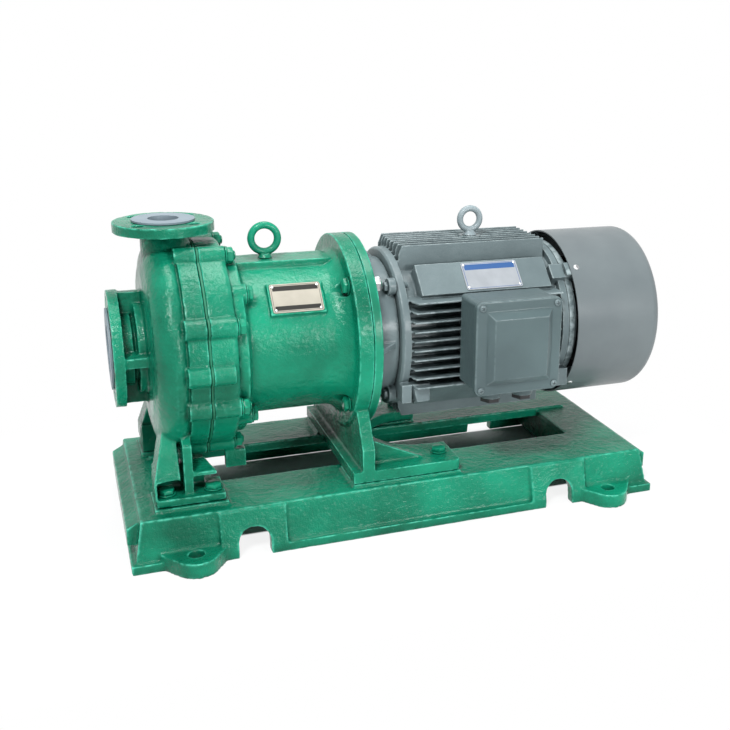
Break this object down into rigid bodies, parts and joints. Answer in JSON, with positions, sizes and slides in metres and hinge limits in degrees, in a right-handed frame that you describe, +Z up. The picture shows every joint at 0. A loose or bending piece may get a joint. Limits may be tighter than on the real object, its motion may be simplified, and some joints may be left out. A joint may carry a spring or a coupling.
{
  "type": "magnetic drive chemical pump",
  "caption": "Sealless magnetic drive centrifugal pump for corrosive liquids: lined lobed casing, flanged ports, bracket, finned flange motor, cast base plate with lugs.",
  "frame": {"origin": "on the floor, in the middle of the anchor holes of the base plate", "axes": "+X along the shaft from the suction flange to the motor fan, +Z up, the terminal box is on the -Y side"},
  "size_m": [0.9875, 0.5029, 0.537],
  "materials": {
    "green_enamel": "thick glossy enamel over cast iron",
    "liner_polymer": "smooth moulded fluoropolymer",
    "gasket_sheet": "plain",
    "shell_composite": "fibre filled polymer",
    "ceramic": "ground ceramic",
    "wet_polymer": "moulded fluoropolymer",
    "magnet": "ground",
    "machined_steel": "turned",
    "motor_paint": "satin paint over cast iron",
    "cowl_paint": "satin paint over sheet steel",
    "core_steel": "laminated",
    "cage_aluminium": "as cast",
    "copper": "varnished",
    "fan_plastic": "moulded",
    "zinc_steel": "bright zinc",
    "green_eye": "enamel",
    "grey_eye": "satin",
    "plate_metal": "bare plate, no lettering"
  },
  "bodies": {
    "housing": {"baseplate": "green_enamel", "pump_casing": "green_enamel", "rear_cover": "green_enamel", "motor_bracket": "green_enamel", "motor_flange_shield": "green_enamel", "casing_liner": "liner_polymer", "shaft_support": "liner_polymer", "casing_gasket": "gasket_sheet", "isolation_shell": "shell_composite", "pump_shaft": "ceramic", "front_thrust_ring": "ceramic", "rear_thrust_ring": "ceramic", "front_bearing_ring": "machined_steel", "rear_bearing_ring": "machined_steel", "bearing_balls": "machined_steel", "motor_frame": "motor_paint", "fan_end_shield": "motor_paint", "terminal_box": "motor_paint", "terminal_cover": "motor_paint", "fan_cowl": "cowl_paint", "stator_core": "core_steel", "stator_windings": "copper", "terminal_studs": "copper", "terminal_block": "fan_plastic", "gland_plugs": "fan_plastic", "cover_screws": "zinc_steel", "casing_bolts": "zinc_steel", "casing_nuts": "zinc_steel", "bracket_bolts": "zinc_steel", "motor_bolts": "zinc_steel", "motor_nuts": "zinc_steel", "shield_bolts": "zinc_steel", "pump_foot_bolts": "zinc_steel", "bracket_foot_bolts": "zinc_steel", "cowl_screws": "zinc_steel", "pump_lifting_eye": "green_eye", "motor_lifting_eye": "grey_eye", "pump_rating_plate": "plate_metal", "motor_rating_plate": "plate_metal", "plate_rivets": "plate_metal"},
    "motor_rotor": {"motor_shaft": "machined_steel", "rotor_core": "core_steel", "rotor_end_rings": "cage_aluminium", "front_inner_race": "machined_steel", "rear_inner_race": "machined_steel", "cooling_fan": "fan_plastic", "outer_magnet_carrier": "machined_steel", "outer_magnets": "magnet", "shaft_key": "machined_steel"},
    "impeller_rotor": {"impeller": "wet_polymer", "inner_magnet_rotor": "wet_polymer", "inner_magnets": "magnet", "front_bush": "ceramic", "rear_bush": "ceramic"}
  },
  "joints": [
    {"name": "motor_spin", "type": "hinge", "parent": "housing", "child": "motor_rotor", "pos_m": [0, 0, 0.32], "axis": [1, 0, 0], "continuous": true},
    {"name": "impeller_spin", "type": "hinge", "parent": "housing", "child": "impeller_rotor", "pos_m": [0, 0, 0.32], "axis": [1, 0, 0], "continuous": true}
  ],
  "couplings": [
    {"joint": "impeller_spin", "follows": "motor_spin", "ratio": 1}
  ]
}
